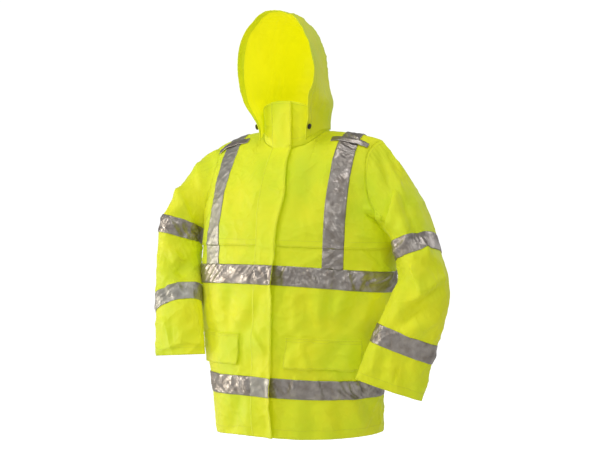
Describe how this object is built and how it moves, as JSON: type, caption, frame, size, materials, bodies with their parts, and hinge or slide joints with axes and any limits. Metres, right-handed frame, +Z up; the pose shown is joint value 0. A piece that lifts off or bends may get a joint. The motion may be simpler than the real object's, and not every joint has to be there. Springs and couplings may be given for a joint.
{
  "type": "hi-vis work jacket",
  "caption": "Hooded high-visibility work jacket, filled out as if worn: storm flap, chest yoke, flapped pockets and reflective tapes on body, shoulders and sleeves.",
  "frame": {"origin": "middle of the neck base, level with the side of the neck seam", "axes": "+Z up, the front of the jacket faces -Y, +X towards the wearer's left"},
  "size_m": [0.8646, 0.3393, 1.125],
  "materials": {
    "coated_cloth": "fluorescent yellow, coated woven cloth with a soft sheen",
    "reflective_tape": "silver grey retroreflective tape, lightly crinkled",
    "stud": "black press stud",
    "zip_tape": "yellow zip tape"
  },
  "bodies": {
    "root": {"back": "coated_cloth", "brace_tape_front_left": "reflective_tape", "brace_tape_front_right": "reflective_tape", "brace_tape_left": "reflective_tape", "brace_tape_right": "reflective_tape", "collar": "coated_cloth", "flap_tape_hem": "reflective_tape", "flap_tape_waist": "reflective_tape", "front_left": "coated_cloth", "front_right": "coated_cloth", "hem_tape": "reflective_tape", "hood_left": "coated_cloth", "hood_right": "coated_cloth", "pocket_flap_left": "coated_cloth", "pocket_flap_right": "coated_cloth", "radio_tab_left": "reflective_tape", "radio_tab_right": "reflective_tape", "sleeve_left": "coated_cloth", "sleeve_right": "coated_cloth", "sleeve_tape_lower_left": "reflective_tape", "sleeve_tape_lower_right": "reflective_tape", "sleeve_tape_upper_left": "reflective_tape", "sleeve_tape_upper_right": "reflective_tape", "storm_flap": "coated_cloth", "stud_left": "stud", "stud_right": "stud", "waist_tape": "reflective_tape", "yoke_left": "coated_cloth", "yoke_right": "coated_cloth", "zip": "zip_tape"}
  },
  "joints": []
}
